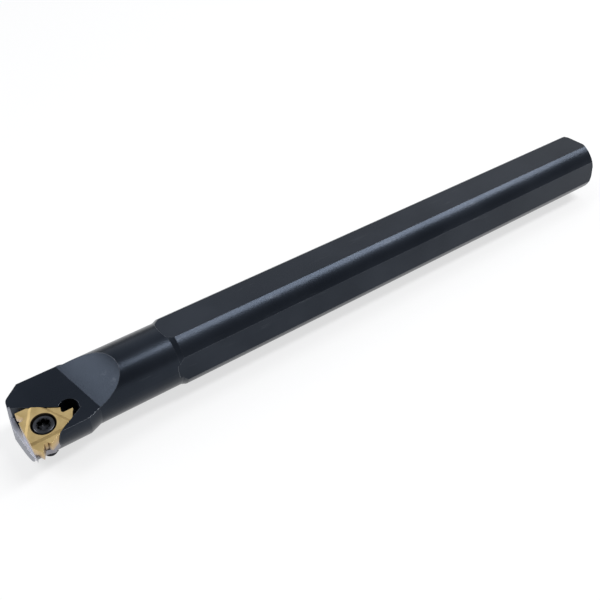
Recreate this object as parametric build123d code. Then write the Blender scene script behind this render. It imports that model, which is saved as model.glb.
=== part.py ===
from build123d import *
from math import cos, radians, sin, sqrt, tan
import os

# Round-shank boring bar for internal threading, right hand, with a three-edged laydown insert.
# Millimetres. X runs along the bar from the centre of the rear end face to the head,
# +Y is the side that cuts and +Z is up, on the rake side of the insert.

# Bar
overall_length = 203.2
shank_diameter = 19.05
shank_length = 159.7
rear_chamfer = 0.6
neck_diameter = 18.0
neck_taper_length = 1.4
head_diameter = 19.5
head_length = 16.0
head_offset = 0.46
head_step_angle = 20.0

# Clamping flats, milled by a cutter that leaves a round run-out at the head end
flat_height_across = 16.55
flat_width_across = 17.5
flat_length = 162.0
flat_cutter_radius = 9.5

# Laydown insert, three teeth on an inscribed circle
insert_ic = 9.525
insert_thickness = 3.5
tooth_setback = 1.5
tooth_corner_drop = 1.0
tooth_angle = 60.0
tooth_height = 2.25
tooth_nose_radius = 0.12
notch_floor = 0.70
notch_back_angle = 39.0
former_distance = 3.4
former_width = 0.7
facet_drop = 0.35
insert_bore = 4.4
insert_countersink = 6.0

# Seat: where the cutting point stands and how the pocket leans
cutting_reach = 13.15
cutting_height = -0.2
insert_setback = 1.3
seat_tilt = 15.5
wall_clearance = 0.05
relief_hole_diameter = 5.0
relief_hole_inset = 2.6
relief_hole_side = 1.35

# Chip flute over the head, and its run-out into the neck
flute_depth = 0.15
runout_radius = 30.0
runout_start_angle = 19.0
runout_yaw = 14.0
runout_distance = 12.4

# Front of the head, relieved to both sides of its foremost line, and cut back at the far corner
front_tilt = 29.0
front_crown_side = 4.5
front_near_relief = 5.5
front_far_relief = 9.0
corner_cut_side = 10.6
corner_cut_angle = 53.0
corner_cut_round = 2.0

# Shim under the insert
shim_thickness = 2.0
shim_point_reach = 6.0
shim_flank_angle = 24.0
shim_flank_length = 1.6
shim_side_end = 0.1
shim_bore = 4.0
shim_screw_distance = 4.75

# Screws
screw_angle = 60.0
screw_clearance = 0.05
insert_screw_diameter = 3.5
insert_screw_length = 13.5
insert_screw_head = 5.2
insert_screw_rim = 0.30
insert_screw_dome = 0.18
insert_screw_recess = 3.35
insert_screw_recess_root = 2.40
insert_screw_recess_depth = 1.6
insert_screw_point = 0.35
shim_screw_diameter = 2.5
shim_screw_length = 6.0
shim_screw_head = 3.8
shim_screw_rim = 0.20
shim_screw_dome = 0.10
shim_screw_sink = 0.35
shim_screw_recess = 2.20
shim_screw_recess_root = 1.60
shim_screw_recess_depth = 0.9
shim_screw_point = 0.25

# A cut that goes past the metal runs this far beyond it
beyond = 1.3 * shank_diameter

inner_radius = insert_ic / 2
corner_reach = inner_radius * sqrt(3)
tip = (inner_radius - tooth_setback, corner_reach - tooth_corner_drop)
lean = radians(seat_tilt)

# Insert frame: origin at the screw hole on the insert's top face, X along the bar, Y to the near side
seat = Plane(
    origin=(
        overall_length - insert_setback - inner_radius,
        cutting_reach - tip[1] * cos(lean) + facet_drop * sin(lean),
        cutting_height + tip[1] * sin(lean) + facet_drop * cos(lean),
    ),
    x_dir=(1, 0, 0),
    z_dir=(0, sin(lean), cos(lean)),
)
shim_top = -insert_thickness
pocket_floor = shim_top - shim_thickness
shim_screw_spot = Rot(0, 0, -60) * Pos(shim_screw_distance, 0, 0)


def lobed(outer, root):
    """Six-lobed recess outline: a root circle with six round lobes on it."""
    lobe = (outer - root) / 2
    outline = Circle(root / 2)
    for location in PolarLocations(outer / 2 - lobe, 6):
        outline += location * Circle(lobe)
    return outline


def countersink_depth(wide, narrow):
    """Depth of a screw-head cone between two diameters."""
    return (wide - narrow) / 2 / tan(radians(screw_angle / 2))


def countersunk_hole(wide, narrow, depth):
    """Solid of a hole that goes down from Z = 0, with the seat of a screw head at its mouth."""
    sink = countersink_depth(wide, narrow)
    points = [(0, 0), (wide / 2, 0), (narrow / 2, -sink), (narrow / 2, -depth), (0, -depth)]
    return revolve(Plane.XZ * make_face(Polyline(*points, close=True)), Axis.Z)


def countersunk_screw(head, shank, length, rim, dome, point, recess, root, depth):
    """Screw with its head's rim at Z = 0 and its shank down, and a lobed recess in the head."""
    cone = rim + countersink_depth(head, shank)
    side = [
        Line((0, dome), (0, -length)),
        Line((0, -length), (shank / 2 - point, -length)),
        Line((shank / 2 - point, -length), (shank / 2, -length + point)),
        Line((shank / 2, -length + point), (shank / 2, -cone)),
        Line((shank / 2, -cone), (head / 2, -rim)),
        Line((head / 2, -rim), (head / 2, 0)),
    ]
    profile = make_face(side + [SagittaArc((head / 2, 0), (0, dome), dome / 4)])
    screw = revolve(Plane.XZ * profile, Axis.Z)
    return screw - extrude(Plane.XY.offset(dome) * lobed(recess, root), -(depth + dome))


def three_times(third):
    """Points of one third of an outline, followed by the same points turned to the other two."""
    points = []
    for turn in (0, -120, -240):
        a = radians(turn)
        points += [(x * cos(a) - y * sin(a), x * sin(a) + y * cos(a)) for x, y in third]
    return points


def insert_outline():
    """Plan of the insert: each third has a straight side, a notch and a pointed tooth."""
    half = radians(tooth_angle / 2)
    base = tip[1] - tooth_height
    notch_end = tip[0] - tooth_height * tan(half)
    notch_start = notch_end - notch_floor
    back = radians(notch_back_angle)
    # the back of the notch climbs to the straight side, whose line is y = (ic + x) / sqrt(3)
    rise = ((insert_ic + notch_start) / sqrt(3) - base) / (cos(back) + sin(back) / sqrt(3))
    shoulder = (notch_start - rise * sin(back), base + rise * cos(back))
    front = (inner_radius, tip[1] - tooth_setback / tan(half))
    third = [shoulder, (notch_start, base), (notch_end, base), tip, front]
    return make_face(Polyline(*three_times(third), close=True))


def make_insert():
    blank = extrude(insert_outline(), -insert_thickness)
    points = sorted(blank.edges().filter_by(Axis.Z), key=lambda e: -(e.center().X ** 2 + e.center().Y ** 2))
    blank = fillet(points[:3], tooth_nose_radius)
    # chip former: a slope down to the rake facet in front of each tooth
    slope_end = former_distance + former_width
    section = Polyline(
        (former_distance, 0),
        (slope_end, -facet_drop),
        (insert_ic, -facet_drop),
        (insert_ic, insert_thickness),
        (former_distance, insert_thickness),
        close=True,
    )
    former = extrude(Plane.YZ * make_face(section), insert_ic, both=True)
    for turn in (0, 120, 240):
        blank -= Rot(0, 0, turn) * former
    blank = blank - countersunk_hole(insert_countersink, insert_bore, insert_thickness)
    return blank


def make_shim():
    """Three-sided plate below the insert, relieved behind each point so that it clears the thread."""
    flank = radians(shim_flank_angle)
    point = (inner_radius, shim_point_reach)
    inside = (point[0] - shim_flank_length * sin(flank), point[1] - shim_flank_length * cos(flank))
    side_end = (shim_side_end, (insert_ic + shim_side_end) / sqrt(3))
    plate = make_face(Polyline(*three_times([side_end, inside, point]), close=True))
    shim = extrude(Plane.XY.offset(shim_top) * plate, -shim_thickness)
    shim -= Pos(0, 0, shim_top) * Cylinder(shim_bore / 2, 4 * shim_thickness)
    hole = shim_screw_diameter + 2 * screw_clearance
    mouth = shim_screw_head + 2 * shim_screw_sink * tan(radians(screw_angle / 2)) + 2 * screw_clearance
    shim -= Pos(0, 0, shim_top) * shim_screw_spot * countersunk_hole(mouth, hole, 2 * shim_thickness)
    return shim


def make_bar():
    neck_start = shank_length + neck_taper_length
    head_start = overall_length - head_length
    shank_r = shank_diameter / 2
    neck_r = neck_diameter / 2
    turned = Polyline(
        (0, 0),
        (0, shank_r - rear_chamfer),
        (rear_chamfer, shank_r),
        (shank_length, shank_r),
        (neck_start, neck_r),
        (head_start + head_length / 2, neck_r),
        (head_start + head_length / 2, 0),
        close=True,
    )
    bar = revolve(make_face(turned), Axis.X)

    # the head is turned off centre, toward the side that cuts, with a long cone at its back
    head_r = head_diameter / 2
    cone_foot = neck_r - 2 * head_offset
    cone = (head_r - cone_foot) / tan(radians(head_step_angle))
    head_side = Polyline(
        (head_start - cone, 0),
        (head_start - cone, cone_foot),
        (head_start, head_r),
        (overall_length, head_r),
        (overall_length, 0),
        close=True,
    )
    bar += Pos(0, head_offset, 0) * revolve(make_face(head_side), Axis.X)

    # four flats
    run = flat_length - flat_cutter_radius
    plan = Pos((run - beyond) / 2, 0) * Rectangle(run + beyond, 2 * flat_cutter_radius)
    plan += Pos(run, 0) * Circle(flat_cutter_radius)
    for turn, across in ((0, flat_height_across), (90, flat_width_across)):
        for side in (0, 180):
            bar -= Rot(turn + side, 0, 0) * Pos(0, 0, across / 2) * extrude(plan, beyond)
    return bar


def cut_flute(bar):
    """Flat over the whole head, a little below the insert's top, that climbs out into the neck."""
    yaw = radians(runout_yaw)
    start = radians(runout_start_angle)
    along = seat.x_dir * cos(yaw) + seat.y_dir * sin(yaw)
    axis = seat.y_dir * cos(yaw) - seat.x_dir * sin(yaw)
    flute = Plane(origin=seat.origin - seat.z_dir * flute_depth, x_dir=along, z_dir=-axis)
    centre = (-runout_distance + runout_radius * sin(start), runout_radius * cos(start))
    climb = radians(60)
    foot = (-runout_distance, 0)
    middle_turn = (start + climb) / 2
    middle = (centre[0] - runout_radius * sin(middle_turn), centre[1] - runout_radius * cos(middle_turn))
    peak = (centre[0] - runout_radius * sin(climb), centre[1] - runout_radius * cos(climb))
    outline = [
        ThreePointArc(foot, middle, peak),
        Line(peak, (beyond, peak[1])),
        Line((beyond, peak[1]), (beyond, 0)),
        Line((beyond, 0), foot),
    ]
    return bar - extrude(flute * make_face(outline), 2 * beyond, both=True)


def cut_pocket(bar):
    """Seat for shim and insert: a floor and two walls, open to the front and to the near side."""
    corner = (-2 * (inner_radius + wall_clearance), 0)
    reach = 4 * insert_ic
    sides = Polyline(
        corner,
        (corner[0] + reach * cos(radians(30)), corner[1] - reach * sin(radians(30))),
        (corner[0] + reach * cos(radians(30)), corner[1] + reach * sin(radians(30))),
        close=True,
    )
    plan = make_face(sides)
    plan += Pos(corner[0] + relief_hole_inset, -relief_hole_side) * Circle(relief_hole_diameter / 2)
    bar -= extrude(seat.offset(pocket_floor) * plan, -pocket_floor + beyond)

    # threaded holes of the two screws; the longer one comes out below the head
    insert_hole = insert_screw_diameter / 2 + screw_clearance
    bar -= seat * Pos(0, 0, pocket_floor) * Cylinder(insert_hole, 2 * beyond)
    shim_hole = shim_screw_diameter / 2 + screw_clearance
    depth = 2 * (shim_screw_length - shim_thickness + shim_screw_diameter)
    bar -= seat * Pos(0, 0, pocket_floor) * shim_screw_spot * Cylinder(shim_hole, depth)
    return bar


def cut_front(bar):
    """Front end: two slightly relieved faces, and a rounded corner on the side away from the work."""
    tilt = radians(front_tilt)
    far = radians(front_far_relief)
    slope = radians(corner_cut_angle)
    front = insert_setback + inner_radius
    crown = (front, -front_crown_side)
    near_end = (front - beyond * tan(radians(front_near_relief)), beyond - front_crown_side)
    corner = (front - (corner_cut_side - front_crown_side) * tan(far), -corner_cut_side)
    setback = corner_cut_round * tan((slope - far) / 2)
    start = (corner[0] + setback * sin(far), corner[1] + setback * cos(far))
    tangent = (corner[0] - setback * sin(slope), corner[1] - setback * cos(slope))
    centre = (start[0] - corner_cut_round * cos(far), start[1] + corner_cut_round * sin(far))
    half = (slope + far) / 2
    middle = (centre[0] + corner_cut_round * cos(half), centre[1] - corner_cut_round * sin(half))
    end = (tangent[0] - beyond * sin(slope), tangent[1] - beyond * cos(slope))
    plan = [
        Line(near_end, crown),
        Line(crown, start),
        ThreePointArc(start, middle, tangent),
        Line(tangent, end),
        Line(end, (front + beyond, end[1])),
        Line((front + beyond, end[1]), (front + beyond, near_end[1])),
        Line((front + beyond, near_end[1]), near_end),
    ]
    across = Plane(origin=seat.origin, x_dir=(1, 0, 0), z_dir=(0, sin(tilt), cos(tilt)))
    return bar - extrude(across * make_face(plan), beyond, both=True)


holder_body = cut_front(cut_pocket(cut_flute(make_bar())))
threading_insert = seat * make_insert()
shim = seat * make_shim()

head_depth = countersink_depth(insert_countersink, insert_screw_head) - insert_screw_rim
seat_gap = screw_clearance / sin(radians(screw_angle / 2)) - screw_clearance
insert_screw = seat * Pos(0, 0, seat_gap - head_depth) * countersunk_screw(
    insert_screw_head,
    insert_screw_diameter,
    insert_screw_length - insert_screw_dome,
    insert_screw_rim,
    insert_screw_dome,
    insert_screw_point,
    insert_screw_recess,
    insert_screw_recess_root,
    insert_screw_recess_depth,
)
shim_screw = seat * Pos(0, 0, shim_top - shim_screw_sink + shim_screw_rim) * shim_screw_spot * countersunk_screw(
    shim_screw_head,
    shim_screw_diameter,
    shim_screw_length - shim_screw_dome,
    shim_screw_rim,
    shim_screw_dome,
    shim_screw_point,
    shim_screw_recess,
    shim_screw_recess_root,
    shim_screw_recess_depth,
)

os.makedirs("parts", exist_ok=True)
export_step(holder_body, "parts/holder_body.step")
export_step(shim, "parts/shim.step")
export_step(shim_screw, "parts/shim_screw.step")
export_step(threading_insert, "parts/threading_insert.step")
export_step(insert_screw, "parts/insert_screw.step")
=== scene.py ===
from math import cos, pi, radians, sin, sqrt

import bmesh
import bpy
from mathutils import Matrix, Vector


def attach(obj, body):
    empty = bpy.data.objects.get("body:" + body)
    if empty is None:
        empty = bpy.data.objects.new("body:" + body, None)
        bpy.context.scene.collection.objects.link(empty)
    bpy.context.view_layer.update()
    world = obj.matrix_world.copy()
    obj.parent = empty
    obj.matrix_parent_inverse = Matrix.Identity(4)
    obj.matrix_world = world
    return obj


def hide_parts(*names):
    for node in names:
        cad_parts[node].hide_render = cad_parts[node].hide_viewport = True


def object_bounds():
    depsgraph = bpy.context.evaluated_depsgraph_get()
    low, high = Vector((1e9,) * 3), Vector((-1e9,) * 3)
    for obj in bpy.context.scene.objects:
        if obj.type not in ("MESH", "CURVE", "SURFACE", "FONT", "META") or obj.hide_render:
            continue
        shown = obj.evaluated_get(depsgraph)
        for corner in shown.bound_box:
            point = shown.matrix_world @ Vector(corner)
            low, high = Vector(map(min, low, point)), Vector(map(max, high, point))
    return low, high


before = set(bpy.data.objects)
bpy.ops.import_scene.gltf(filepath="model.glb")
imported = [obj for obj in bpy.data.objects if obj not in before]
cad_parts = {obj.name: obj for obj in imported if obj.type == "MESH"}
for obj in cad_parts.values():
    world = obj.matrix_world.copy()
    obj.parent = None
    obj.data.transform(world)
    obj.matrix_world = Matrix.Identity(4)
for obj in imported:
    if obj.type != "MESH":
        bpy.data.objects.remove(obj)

solid_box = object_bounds()

# Lengths are named in millimetres, and multiplied by this where the scene takes metres
MM = 0.001

# Insert and its seat, with the same sizes as the solids
INSERT_IC = 9.525
INSERT_THICKNESS = 3.5
INSERT_SETBACK = 1.3
POINT_DROP = 1.0
FACET_DROP = 0.35
CUTTING_REACH = 13.15
CUTTING_HEIGHT = -0.2
LEAN = radians(15.5)

# Seat frame: origin at the screw hole on the insert's top face, X along the bar, Y to the near side
ALONG = Vector((1, 0, 0))
ACROSS = Vector((0, cos(LEAN), -sin(LEAN)))
UPWARD = Vector((0, sin(LEAN), cos(LEAN)))
HOLE_ALONG = solid_box[1][0] / MM - INSERT_SETBACK - INSERT_IC / 2
POINT_OUT = INSERT_IC / 2 * sqrt(3) - POINT_DROP
LEVEL_WITH_POINT = Vector((HOLE_ALONG, CUTTING_REACH, CUTTING_HEIGHT))
SCREW_HOLE = (LEVEL_WITH_POINT - ACROSS * POINT_OUT + UPWARD * FACET_DROP) * MM
SEAT = Matrix.Translation(SCREW_HOLE) @ Matrix((ALONG, ACROSS, UPWARD)).transposed().to_4x4()

# Screws
INSERT_SCREW = {
    "head": 5.2, "shank": 3.5, "length": 13.32, "cone": 1.77, "rim": 0.30, "dome": 0.18,
    "recess": 3.35, "root": 2.40, "depth": 1.6, "pitch": 0.6,
}
INSERT_SCREW_SINK = 0.343
INSERT_SCREW_TURN = radians(12)
SHIM_SCREW = {
    "head": 3.8, "shank": 2.5, "length": 5.9, "cone": 1.33, "rim": 0.20, "dome": 0.10,
    "recess": 2.20, "root": 1.60, "depth": 0.9, "pitch": 0.45,
}
SHIM_SCREW_SINK = 0.15
SHIM_SCREW_DISTANCE = 4.75
SHIM_SCREW_TURN = radians(-60)
THREAD_DEPTH = 0.61
THREAD_STEPS = 24

# Where finishes and painted light and shade begin and are complete, from the screw hole, as seat_place
# measures them
LEDGE_ALONG = (4.6, 4.8)
LEDGE_BELOW = (4.5, 5.0)
RIM_HIGHLIGHT_ALONG = (4.8, 4.95)
RIM_HIGHLIGHT_ACROSS = (-8.9, -8.8)
FLANK_SHEEN_BELOW = (1.4, 3.4)
COUNTERSINK_SHADE_EDGE = (3.06, 3.16)

# How far off the insert's own metal still casts painted shade into its notches, and how wide the corners look
# rounded
SHADE_REACH = 1.8
BAR_ROUNDING = 0.22
INSERT_ROUNDING = 0.06
SMALL_ROUNDING = 0.08

# Colours of the finishes and of the painted light and shade; those in pairs are mixed in soft clouds
OXIDE = ((0.016, 0.021, 0.030), (0.024, 0.030, 0.041))
OXIDE_SCUFF = (0.08, 0.09, 0.105)
OXIDE_CORNER = (0.17, 0.18, 0.20)
GROUND_FRONT = ((0.045, 0.058, 0.105), (0.072, 0.088, 0.145))
# the ledge's ground steel, painted brighter than bare steel as a painted reflection in its shaded corner
LEDGE_GROUND_AND_SHEEN = (0.70, 0.71, 0.78)
# painted highlight on the pocket wall's front rim, standing for a lit face
RIM_PAINTED_HIGHLIGHT = (0.40, 0.41, 0.46)
GOLD = ((0.62, 0.45, 0.195), (0.74, 0.55, 0.255))
# the sides' browner tone, and a greyer one further down as a painted reflection
GOLD_FLANK_AND_SHEEN = ((0.52, 0.36, 0.155), (0.43, 0.34, 0.27))
GOLD_CORNER = (0.74, 0.60, 0.36)
# painted shade on two chip formers' slopes
GOLD_SLOPE_SHADE = (0.30, 0.20, 0.08)
# painted shade in the insert's notches and crevices
GOLD_CREVICE_SHADE = (0.10, 0.055, 0.03)
# painted shade in the countersink around the screw's head
GOLD_COUNTERSINK_SHADE = (0.03, 0.022, 0.015)
CARBIDE = ((0.24, 0.235, 0.26), (0.31, 0.305, 0.33))
# painted highlight on the shim's side at the bar's front end
CARBIDE_FRONT_SHEEN = (0.44, 0.45, 0.51)
CARBIDE_CORNER = (0.55, 0.55, 0.58)
SCREW_BLACK = ((0.032, 0.034, 0.040), (0.052, 0.055, 0.064))
SCREW_CORNER = (0.22, 0.225, 0.24)
# painted shade in the screw's recess
SCREW_RECESS_SHADE = (0.002, 0.002, 0.003)

# Room: the walls are given from low to high, and the floor's reach, like the lamps, in metres
WHITE = (1, 1, 1)
NEAR_WALLS = ((0.34, 0.35, 0.37), (0.30, 0.31, 0.33))
FAR_WALLS = ((0.26, 0.27, 0.29), (1.14, 1.15, 1.17), (0.62, 0.64, 0.68))
FLOOR_COLOUR = (0.31, 0.31, 0.31)
FLOOR_GLOW = 0.68
FLOOR_REACH = 6
FLOOR_GAP = 0.02

# Camera at the photograph's viewing angle, placed from the middle of the bar along its own axes
BAR_MIDDLE = Vector((100, 0, 0))
CAMERA_AZIMUTH = 0.9531
CAMERA_ELEVATION = 0.6551
CAMERA_ROLL = -0.04902
CAMERA_RIGHT = 0.78078
CAMERA_UP = -8.25718
CAMERA_BACK = 253.85434
PHOTO_SIDE = 600
FOCAL_PIXELS = 842.121
AXIS_PIXEL = (351.048, 295.27)
SENSOR_WIDTH = 36


# Shader maths

class Signal:
    """A shader socket that can be used in Python expressions."""

    def __init__(self, paint, socket):
        self.paint = paint
        self.socket = socket

    def maths(self, operation, *others):
        return self.paint.node("ShaderNodeMath", {"operation": operation}, dict(enumerate((self,) + others)))

    def __add__(self, other):
        return self.maths("ADD", other)

    __radd__ = __add__

    def __sub__(self, other):
        return self.maths("SUBTRACT", other)

    def __rsub__(self, other):
        return (self * -1) + other

    def __mul__(self, other):
        return self.maths("MULTIPLY", other)

    __rmul__ = __mul__

    def __pow__(self, other):
        return self.maths("POWER", other)

    def magnitude(self):
        return self.maths("ABSOLUTE")

    def above(self, other):
        return self.maths("MAXIMUM", other)

    def ramp(self, low, high):
        """0 below low, 1 above high, smooth between."""
        sockets = {"Value": self, "From Min": low, "From Max": high}
        return self.paint.node("ShaderNodeMapRange", {"interpolation_type": "SMOOTHSTEP"}, sockets)


class Paint:
    """A material, or the world, with the nodes that its look is made of."""

    def __init__(self, owner):
        owner.use_nodes = True
        self.owner = owner
        self.tree = owner.node_tree
        self.tree.nodes.clear()

    def node(self, kind, settings=None, sockets=None, out=0):
        """Adds a node, with its settings set first, and returns one of its outputs."""
        made = self.tree.nodes.new(kind)
        for name, value in (settings or {}).items():
            setattr(made, name, value)
        for name, value in (sockets or {}).items():
            self.feed(made.inputs[name], value)
        return Signal(self, made.outputs[out])

    def feed(self, socket, value):
        """Links a socket to a signal, or sets it to a value."""
        if isinstance(value, Signal):
            self.tree.links.new(value.socket, socket)
        elif socket.type == "RGBA":
            socket.default_value = (*value, 1)
        else:
            socket.default_value = value

    def blend(self, mask, first, second):
        """Colour that goes from first to second as mask goes from 0 to 1."""
        # several sockets of a Mix node share a name, so the ones for colours go by number
        return self.node("ShaderNodeMix", {"data_type": "RGBA"}, {0: mask, 6: first, 7: second}, 2)

    def clouded(self, cloud, pair):
        """The two colours of a pair, in the clouds of a noise."""
        return self.blend(cloud.ramp(0.3, 0.7), *pair)

    def part(self, vector, axis):
        return self.node("ShaderNodeSeparateXYZ", {}, {0: vector}, axis)

    def dot(self, first, second):
        return self.node("ShaderNodeVectorMath", {"operation": "DOT_PRODUCT"}, {0: first, 1: second}, "Value")

    def place(self):
        return self.node("ShaderNodeTexCoord", {}, {}, "Object")

    def normal(self):
        return self.node("ShaderNodeTexCoord", {}, {}, "Normal")

    def noise(self, place, scale, detail=2.0, roughness=0.5):
        sockets = {"Vector": place, "Scale": scale, "Detail": detail, "Roughness": roughness}
        return self.node("ShaderNodeTexNoise", {}, sockets)

    def streaks(self, place, scale, turn=(0, 0, 0), detail=2.0, roughness=0.5):
        """Noise with a scale for each axis, drawn out along those where it is small."""
        sockets = {"Vector": place, "Scale": scale, "Rotation": turn}
        return self.noise(self.node("ShaderNodeMapping", {}, sockets), 1.0, detail, roughness)

    def metal(self, colour, roughness, relief, normal, metallic, strength, depth):
        """Finishes a metal with a relief of a depth in millimetres on its normal."""
        bump = self.node("ShaderNodeBump", {}, {
            "Strength": strength, "Distance": depth * MM, "Height": relief, "Normal": normal,
        })
        shader = self.node("ShaderNodeBsdfPrincipled", {}, {
            "Base Color": colour, "Metallic": metallic, "Roughness": roughness, "Normal": bump,
        })
        return self.finish(shader, "ShaderNodeOutputMaterial")

    def finish(self, shader, kind):
        sink = self.tree.nodes.new(kind)
        self.tree.links.new(shader.socket, sink.inputs["Surface"])
        return self.owner


def rounded_edges(paint, width):
    """Normal with its corners rounded over a small width, and how near the surface is to such a corner."""
    soft = paint.node("ShaderNodeBevel", {"samples": 6}, {"Radius": width * MM})
    flat = paint.node("ShaderNodeNewGeometry", {}, {}, "Normal")
    return soft, (1 - paint.dot(soft, flat)).ramp(0.001, 0.07)


def seat_place(paint, place):
    """Millimetres along the bar, to the near side and below the insert's top, from the screw hole."""
    away = paint.node("ShaderNodeVectorMath", {"operation": "SUBTRACT"}, {0: place, 1: SCREW_HOLE})
    return [paint.dot(away, axis) * (1 / MM) for axis in (ALONG, ACROSS, -UPWARD)]


# Finishes

def blackened_steel():
    """Black-oxide steel: slate, satin, worn a little brighter along its corners."""
    paint = Paint(bpy.data.materials.new("blackened_steel"))
    place = paint.place()
    soft, corner = rounded_edges(paint, BAR_ROUNDING)
    cloud = paint.noise(place, 55, 3.0)
    grain = paint.noise(place, 2600, 3.0, 0.7)
    turning = paint.streaks(place, (2600, 12, 12))
    drawing = paint.streaks(place, (14, 900, 900))
    scuffs = paint.streaks(place, (60, 420, 420), detail=4.0, roughness=0.7).ramp(0.62, 0.74)
    steel = paint.clouded(cloud, OXIDE)
    steel = paint.blend(scuffs * 0.2, steel, OXIDE_SCUFF)
    # ground after blackening: the front end and the ledge in front of the shim, the ledge also painted
    # brighter as a painted reflection; the pocket wall's front rim is a painted highlight
    front = paint.part(paint.normal(), "X").ramp(0.93, 0.96)
    along, across, below = seat_place(paint, place)
    ledge = along.ramp(*LEDGE_ALONG) * below.ramp(*LEDGE_BELOW) * (1 - front)
    rim = along.ramp(*RIM_HIGHLIGHT_ALONG) * across.ramp(*RIM_HIGHLIGHT_ACROSS) * (1 - front) * (1 - ledge)
    steel = paint.blend(front, steel, paint.blend(cloud, *GROUND_FRONT))
    # ground ledge, painted brighter as a painted reflection where the corner shades it
    steel = paint.blend(ledge, steel, LEDGE_GROUND_AND_SHEEN)
    # painted highlight along the pocket wall's front rim
    steel = paint.blend(rim * 0.8, steel, RIM_PAINTED_HIGHLIGHT)
    steel = paint.blend(corner * cloud.ramp(0.2, 0.55) * 0.8, steel, OXIDE_CORNER)
    roughness = 0.22 + 0.07 * cloud + 0.08 * grain
    relief = turning * 0.15 + drawing * 0.15 + grain * (0.7 - 0.5 * front)
    return paint.metal(steel, roughness, relief, soft, metallic=0.85, strength=0.6, depth=0.03)


def gold_coating():
    """Gold nitride coating on ground carbide: satin, browner down the sides, and greyer further down as a
    painted reflection.
    """
    paint = Paint(bpy.data.materials.new("coated_carbide"))
    place = paint.place()
    normal = paint.normal()
    soft, corner = rounded_edges(paint, INSERT_ROUNDING)
    up = paint.dot(normal, UPWARD)
    side = 1 - up.magnitude().ramp(0.15, 0.5)
    along, across, below = seat_place(paint, place)
    from_hole = (along * along + across * across) ** 0.5
    own_metal = {"samples": 8, "only_local": True}
    open_to_light = paint.node("ShaderNodeAmbientOcclusion", own_metal, {"Distance": SHADE_REACH * MM}, "AO")
    cloud = paint.noise(place, 420, 3.0)
    grain = paint.noise(place, 9000, 2.0)
    grinding = paint.streaks(place, (700, 9000, 700), (0.4, 0, 0.5))
    gold = paint.clouded(cloud, GOLD)
    # browner sides, turning greyer further down as a painted reflection
    gold = paint.blend(side * 0.85, gold, paint.blend(below.ramp(*FLANK_SHEEN_BELOW), *GOLD_FLANK_AND_SHEEN))
    gold = paint.blend(corner * 0.4, gold, GOLD_CORNER)
    # painted shade on the chip formers' slopes, on the two that don't face the bar's front end
    slope_shade = up.ramp(0.84, 0.87) * (1 - up.ramp(0.92, 0.95)) * (1 - paint.part(normal, "X").ramp(0.2, 0.35))
    gold = paint.blend(slope_shade * 0.5, gold, GOLD_SLOPE_SHADE)
    # painted shade in the notches and crevices, where the insert's own metal hides the light
    gold = paint.blend((1 - open_to_light).ramp(0.15, 0.5) * 0.85, gold, GOLD_CREVICE_SHADE)
    # painted shade in the countersink, a ring around the screw's head
    gold = paint.blend(1 - from_hole.ramp(*COUNTERSINK_SHADE_EDGE), gold, GOLD_COUNTERSINK_SHADE)
    roughness = 0.25 + 0.07 * grain + 0.05 * cloud
    relief = grinding * side + grain * 0.5
    return paint.metal(gold, roughness, relief, soft, metallic=1.0, strength=0.12, depth=0.01)


def shim_carbide():
    """Bare ground carbide of the shim, grey with fine grinding lines."""
    paint = Paint(bpy.data.materials.new("shim_carbide"))
    place = paint.place()
    soft, corner = rounded_edges(paint, SMALL_ROUNDING)
    cloud = paint.noise(place, 380, 3.0)
    lines = paint.streaks(place, (600, 600, 9000))
    grey = paint.clouded(cloud, CARBIDE)
    # painted highlight: the side at the bar's front end is painted brighter than the shim's other sides
    front = paint.part(paint.normal(), "X").ramp(0.8, 0.95)
    grey = paint.blend(front, grey, CARBIDE_FRONT_SHEEN)
    grey = paint.blend(corner * 0.4, grey, CARBIDE_CORNER)
    roughness = 0.32 + 0.1 * lines
    return paint.metal(grey, roughness, lines, soft, metallic=1.0, strength=0.15, depth=0.01)


def screw_steel():
    """Blackened screw steel, smoother than the bar, with painted shade in its recess."""
    paint = Paint(bpy.data.materials.new("screw_steel"))
    place = paint.place()
    soft, corner = rounded_edges(paint, SMALL_ROUNDING)
    cloud = paint.noise(place, 500, 3.0)
    grain = paint.noise(place, 7000, 2.0)
    black = paint.clouded(cloud, SCREW_BLACK)
    black = paint.blend(corner * 0.5, black, SCREW_CORNER)
    # painted shade in the recess, marked on the screw's mesh
    sunk = paint.node("ShaderNodeAttribute", {"attribute_name": "recess"}, {}, "Fac")
    black = paint.blend(sunk, black, SCREW_RECESS_SHADE)
    roughness = 0.26 + 0.08 * grain
    return paint.metal(black, roughness, grain, soft, metallic=0.8, strength=0.1, depth=0.01)


def dress(node, material):
    """Gives a solid its finish by its material slots."""
    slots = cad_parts[node].data.materials
    if not slots:
        slots.append(material)
    for number in range(len(slots)):
        slots[number] = material


# Screws

def ring(shape, edges, height, radius):
    """Carries an edge loop on to a new height, at a radius for each direction, and returns the new loop."""
    made = bmesh.ops.extrude_edge_only(shape, edges=edges)["geom"]
    for vertex in made:
        if isinstance(vertex, bmesh.types.BMVert):
            around = Vector((vertex.co.x, vertex.co.y, 0)).normalized()
            vertex.co = around * radius(around) + Vector((0, 0, height))
    return [edge for edge in made if isinstance(edge, bmesh.types.BMEdge)]


def lobes(outer, root):
    """Radius of a six-lobed outline, by direction."""
    middle = (outer + root) / 4
    swing = (outer - root) / 4

    def radius(around):
        turn = around.angle(ALONG, 0.0)
        return middle + swing * cos(6 * turn) - swing * 0.22 * cos(12 * turn)
    return radius


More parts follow.
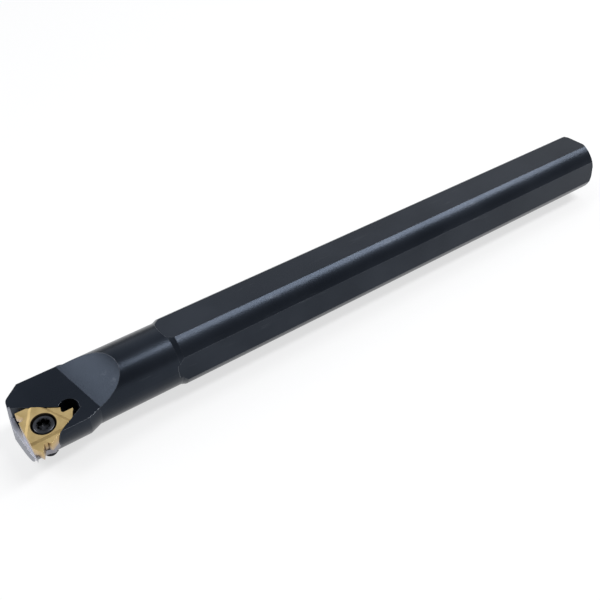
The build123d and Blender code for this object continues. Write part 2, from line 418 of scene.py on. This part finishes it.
def helical_thread(shape, root, crest, pitch, top, bottom):
    """Right-hand thread ridge around a shank, from top down to bottom, closed at both ends."""
    profile = ((root, 0.01), (crest, 0.44), (crest, 0.56), (root, 0.99))
    corners = [shape.verts.new((radius, 0, top - share * pitch)) for radius, share in profile]
    section = shape.faces.new(corners)
    count = int(((top - bottom) / pitch - 1) * THREAD_STEPS)
    bmesh.ops.spin(
        shape, geom=[section], cent=(0, 0, 0), axis=(0, 0, 1), dvec=(0, 0, -pitch / THREAD_STEPS),
        angle=-2 * pi * count / THREAD_STEPS, steps=count, use_duplicate=False,
    )
    bmesh.ops.holes_fill(shape, edges=shape.edges, sides=0)


def socket_screw(name, seat, head, shank, length, cone, rim, dome, recess, root, depth, pitch):
    """Countersunk screw with a rounded head, a six-lobed recess and a rolled thread down to its tip."""
    shape = bmesh.new()
    sunk = shape.verts.layers.float.new("recess")
    floor = bmesh.ops.create_circle(shape, cap_ends=False, radius=root * 0.2, segments=72)["verts"]
    bmesh.ops.translate(shape, verts=floor, vec=(0, 0, -depth - 0.25))
    loop = list(shape.edges)
    bmesh.ops.edgeloop_fill(shape, edges=loop)
    lobed = lobes(recess, root)
    core = shank / 2 - THREAD_DEPTH * pitch
    # height, share of the lobed outline and plain radius of each ring, from the recess's floor to the tip
    rings = (
        (-depth, 0.96, 0),
        (dome - 0.10, 1, 0),
        (dome - 0.03, 1, 0.05),
        (dome, 0.5, recess * 0.28 + 0.12),
        (dome - 0.01, 0, recess / 2 + 0.22),
        (dome * 0.72, 0, head / 2 - 0.30),
        (dome * 0.35, 0, head / 2 - 0.10),
        (-0.04, 0, head / 2 - 0.01),
        (-rim, 0, head / 2),
        (-cone + 0.05, 0, shank / 2 + 0.03),
        (-cone - 0.15, 0, shank / 2 - 0.02),
        (-cone - 0.45, 0, core),
        (-length + 0.40, 0, core),
        (-length + 0.10, 0, core - 0.08),
        (-length + 0.01, 0, core - 0.22),
        (-length, 0, core * 0.3),
    )
    for height, share, plain in rings:
        loop = ring(shape, loop, height, lambda around: share * lobed(around) + plain)
    bmesh.ops.edgeloop_fill(shape, edges=loop)
    helical_thread(shape, core - 0.02, shank / 2, pitch, -cone - 0.25, -length + 0.12)
    bmesh.ops.remove_doubles(shape, verts=shape.verts, dist=0.001)
    bmesh.ops.recalc_face_normals(shape, faces=shape.faces)
    for face in shape.faces:
        face.smooth = True
    for edge in shape.edges:
        if len(edge.link_faces) == 2 and edge.calc_face_angle(0) > radians(38):
            edge.smooth = False
    # marks the recess, where the screw's finish paints shade
    for vertex in shape.verts:
        vertex[sunk] = 1.0 if vertex.co.z > -cone and vertex.co.xy.length < recess * 0.51 else 0.0
    bmesh.ops.scale(shape, verts=shape.verts, vec=(MM, MM, MM))
    bmesh.ops.transform(shape, verts=shape.verts, matrix=seat)
    return placed(name, shape)


def placed(name, shape):
    """Object made of a finished shape."""
    mesh = bpy.data.meshes.new(name)
    shape.to_mesh(mesh)
    shape.free()
    piece = bpy.data.objects.new(name, mesh)
    bpy.context.scene.collection.objects.link(piece)
    return piece


def fit_screw(screw, node, finish):
    """Dresses a screw and lets it stand for its solid."""
    screw.data.materials.append(finish)
    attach(screw, "root")
    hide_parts(node)


# Camera, floor, room and lamps

def aimed(place, right, up, back):
    """Matrix of a camera or lamp with these axes; it looks away from back."""
    return Matrix.Translation(place) @ Matrix((right, up, back)).transposed().to_4x4()


def place_camera():
    """Camera that shows the bar as the photograph does, in its square frame."""
    back = Vector((
        cos(CAMERA_AZIMUTH) * cos(CAMERA_ELEVATION),
        sin(CAMERA_AZIMUTH) * cos(CAMERA_ELEVATION),
        sin(CAMERA_ELEVATION),
    ))
    level = Vector((0, 0, 1)).cross(back).normalized()
    rise = back.cross(level)
    right = cos(CAMERA_ROLL) * level + sin(CAMERA_ROLL) * rise
    up = cos(CAMERA_ROLL) * rise - sin(CAMERA_ROLL) * level
    eye = (BAR_MIDDLE + CAMERA_RIGHT * right + CAMERA_UP * up + CAMERA_BACK * back) * MM
    lens = bpy.data.cameras.new("photo_camera")
    lens.sensor_width = SENSOR_WIDTH
    lens.lens = FOCAL_PIXELS / PHOTO_SIDE * SENSOR_WIDTH
    lens.shift_x = (PHOTO_SIDE / 2 - AXIS_PIXEL[0]) / PHOTO_SIDE
    lens.shift_y = (AXIS_PIXEL[1] - PHOTO_SIDE / 2) / PHOTO_SIDE
    lens.clip_start = 0.01
    lens.clip_end = 20
    camera = bpy.data.objects.new("photo_camera", lens)
    camera.matrix_world = aimed(eye, right, up, back)
    bpy.context.scene.collection.objects.link(camera)
    bpy.context.scene.camera = camera


def shown_rays(paint, mirrored=1):
    """1 for rays that show the background straight, and mirrored for those off metal or through glass."""
    straight, glossy, glassy = [paint.node("ShaderNodeLightPath", {}, {}, name)
                                for name in ("Is Camera Ray", "Is Glossy Ray", "Is Transmission Ray")]
    return straight.above(glossy.above(glassy) * mirrored)


def white_floor():
    """White paper under the bar, which keeps a light shadow."""
    shape = bmesh.new()
    bmesh.ops.create_grid(shape, x_segments=1, y_segments=1, size=FLOOR_REACH)
    level = solid_box[0][2] - FLOOR_GAP * MM
    bmesh.ops.translate(shape, verts=shape.verts, vec=(BAR_MIDDLE.x * MM, 0, level))
    floor = placed("floor", shape)
    paint = Paint(bpy.data.materials.new("floor"))
    paper = paint.node("ShaderNodeBsdfDiffuse", {}, {"Color": FLOOR_COLOUR})
    glow = paint.node("ShaderNodeEmission", {}, {"Color": WHITE, "Strength": FLOOR_GLOW * shown_rays(paint)})
    both = paint.node("ShaderNodeAddShader", {}, {0: paper, 1: glow})
    floor.data.materials.append(paint.finish(both, "ShaderNodeOutputMaterial"))


def room():
    """Studio walls: bright on the far side above a dark foot, and grey on the near side."""
    world = bpy.data.worlds.new("room")
    bpy.context.scene.world = world
    paint = Paint(world)
    direction = paint.node("ShaderNodeTexCoord", {}, {}, "Generated")
    far_side = 1 - paint.part(direction, "Y").ramp(-0.6, 0.3)
    height = paint.part(direction, "Z")
    foot, middle, top = FAR_WALLS
    far_walls = paint.blend(height.ramp(0.5, 1.0), middle, top)
    far_walls = paint.blend(height.ramp(0.36, 0.48), foot, far_walls)
    near_walls = paint.blend(height.ramp(0.1, 0.9), *NEAR_WALLS)
    walls = paint.blend(far_side, near_walls, far_walls)
    # the white backdrop behind the floor is low, and metal shows it too
    backdrop = 1 - height.ramp(0.08, 0.14)
    colour = paint.blend(shown_rays(paint, backdrop), walls, WHITE)
    light = paint.node("ShaderNodeBackground", {}, {"Color": colour, "Strength": 1.0})
    paint.finish(light, "ShaderNodeOutputWorld")


def softbox(name, place, target, size, glow):
    """Rectangular lamp of a given radiance, turned to a target."""
    light = bpy.data.lights.new(name, "AREA")
    light.shape = "RECTANGLE"
    light.size, light.size_y = size
    light.energy = glow * pi * size[0] * size[1]
    lamp = bpy.data.objects.new(name, light)
    back = (Vector(place) - Vector(target)).normalized()
    right = (ALONG - back * back.x).normalized()
    lamp.matrix_world = aimed(place, right, back.cross(right), back)
    bpy.context.scene.collection.objects.link(lamp)


place_camera()
white_floor()
room()
softbox("strip_above", place=(-0.52, 0.31, 0.83), target=(-0.52, 0, 0), size=(0.96, 0.18), glow=15.0)
softbox("front_above", place=(0.96, -0.19, 0.98), target=(0.18, 0, 0.03), size=(0.72, 0.32), glow=5.2)

dress("holder_body", blackened_steel())
dress("shim", shim_carbide())
dress("threading_insert", gold_coating())

screw_finish = screw_steel()
insert_screw_seat = SEAT @ Matrix.Translation((0, 0, -INSERT_SCREW_SINK * MM))
insert_screw_seat = insert_screw_seat @ Matrix.Rotation(INSERT_SCREW_TURN, 4, "Z")
shim_screw_spot = Vector((SHIM_SCREW_DISTANCE, 0, -INSERT_THICKNESS - SHIM_SCREW_SINK)) * MM
shim_screw_seat = SEAT @ Matrix.Rotation(SHIM_SCREW_TURN, 4, "Z") @ Matrix.Translation(shim_screw_spot)
insert_screw = socket_screw("insert_screw_threaded", insert_screw_seat, **INSERT_SCREW)
shim_screw = socket_screw("shim_screw_threaded", shim_screw_seat, **SHIM_SCREW)
fit_screw(insert_screw, "insert_screw", screw_finish)
fit_screw(shim_screw, "shim_screw", screw_finish)

bpy.context.scene.view_settings.view_transform = "Standard"
